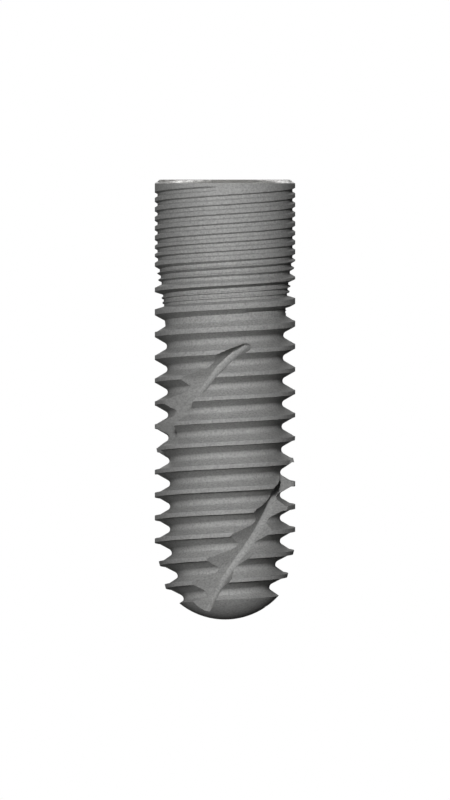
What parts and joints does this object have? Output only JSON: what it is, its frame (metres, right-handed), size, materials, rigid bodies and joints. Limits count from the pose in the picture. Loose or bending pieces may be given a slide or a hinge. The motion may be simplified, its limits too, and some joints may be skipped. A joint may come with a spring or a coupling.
{
  "type": "dental implant",
  "caption": "Screw-shaped titanium dental implant fixture with a fine-threaded collar, a coarse self-cutting thread, helical flutes, a domed apex and a hexagonal socket in its platform.",
  "frame": {"origin": "centre of the flat platform ring, which the implant stands on", "axes": "+Z along the axis from the platform to the domed apex; the pictured side faces -Y"},
  "size_m": [0.0042, 0.0042, 0.013],
  "materials": {
    "blasted_titanium": "matte grey, sandblasted titanium with a narrow bright machined bevel at the platform"
  },
  "bodies": {
    "root": {"implant_fixture": "blasted_titanium"}
  },
  "joints": []
}
